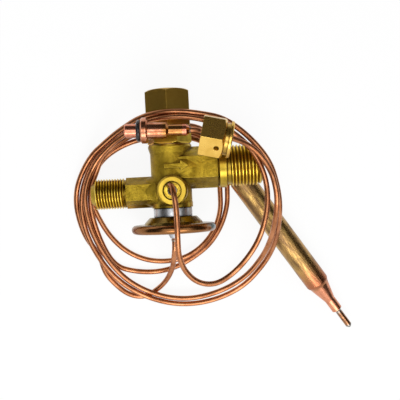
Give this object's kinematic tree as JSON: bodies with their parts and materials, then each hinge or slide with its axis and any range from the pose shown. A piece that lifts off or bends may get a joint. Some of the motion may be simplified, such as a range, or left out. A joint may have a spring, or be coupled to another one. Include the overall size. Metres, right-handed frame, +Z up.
{
  "type": "refrigerant expansion valve",
  "caption": "Brass valve with two threaded arms, a hexagonal seal cap, a flat diaphragm head, a coiled copper sensing tube with a bulb, and an equaliser tube with a loose flare nut.",
  "frame": {"origin": "centre of the valve's box on the surface that it lies on, without the tubes and what is on them", "axes": "+X roughly along the flow, from inlet to outlet, +Y along the spindle axis towards the cap, +Z up from the surface"},
  "size_m": [0.1531, 0.1377, 0.0603],
  "materials": {
    "forged_brass": "hot-forged skin, fine pitted",
    "turned_brass": "turned, semi-bright",
    "cap_brass": "milled flats, tarnished",
    "copper": "drawn, semi-bright",
    "bulb_copper": "drawn, heat-tinted",
    "head_steel": "pressed steel, heat-tinted and yellow passivated",
    "ring_steel": "turned steel, bright",
    "spring_steel": "wire, drawn",
    "rubber": "satin",
    "seal_plastic": "smooth",
    "gasket_copper": "soft, matt",
    "mesh_steel": "woven"
  },
  "bodies": {
    "root": {"valve_body": "forged_brass", "orifice_seat": "ring_steel", "rod_seal": "seal_plastic", "seal_retainer": "turned_brass", "equaliser_bush": "turned_brass", "bonnet_gasket": "gasket_copper", "bonnet": "cap_brass", "superheat_spring": "spring_steel", "head_ring": "ring_steel", "head_upper_cup": "head_steel", "diaphragm": "spring_steel", "head_cover": "head_steel", "head_ferrule": "ring_steel", "inlet_strainer": "mesh_steel", "equaliser_end": "copper", "equaliser_oring": "rubber", "sensing_bulb": "bulb_copper", "bulb_charge_tube": "bulb_copper", "equaliser_capillary": "copper", "sensing_capillary": "copper"},
    "cap_carrier": {"cap_gasket": "gasket_copper"},
    "cap": {"seal_cap": "cap_brass"},
    "spindle": {"adjusting_spindle": "turned_brass", "spindle_oring": "rubber"},
    "seat": {"spring_seat": "turned_brass"},
    "needle": {"valve_needle": "ring_steel", "needle_holder": "turned_brass", "push_rod": "ring_steel", "buffer_plate": "turned_brass"},
    "nut": {"equaliser_nut": "turned_brass"}
  },
  "joints": [
    {"name": "cap_lift", "type": "slide", "parent": "root", "child": "cap_carrier", "axis": [0, 0.9942, -0.1073], "range_m": [0, 0.0075]},
    {"name": "cap_turn", "type": "hinge", "parent": "cap_carrier", "child": "cap", "pos_m": [-0.0033, 0.03706, 0.01409], "axis": [0, 0.9942, -0.1073], "range_deg": [0, 1800]},
    {"name": "spindle_turn", "type": "hinge", "parent": "root", "child": "spindle", "pos_m": [-0.0033, 0.02991, 0.01486], "axis": [0, 0.9942, -0.1073], "range_deg": [-1080, 1080]},
    {"name": "seat_travel", "type": "slide", "parent": "root", "child": "seat", "axis": [0, 0.9942, -0.1073], "range_m": [-0.00225, 0.00225], "deforming": ["superheat_spring"]},
    {"name": "needle_lift", "type": "slide", "parent": "root", "child": "needle", "axis": [0, 0.9942, -0.1073], "range_m": [0, 0.0008], "stiffness_N_per_m": 2000, "springref_m": -0.001, "deforming": ["superheat_spring", "diaphragm"]},
    {"name": "nut_spin", "type": "hinge", "parent": "root", "child": "nut", "pos_m": [0.0085, 0.0144, 0.0475], "axis": [0.961, -0.2131, 0.1762], "continuous": true}
  ],
  "couplings": [
    {"joint": "cap_turn", "follows": "cap_lift", "rad_per_m": 4188.8},
    {"joint": "spindle_turn", "follows": "seat_travel", "rad_per_m": 8377.6}
  ]
}
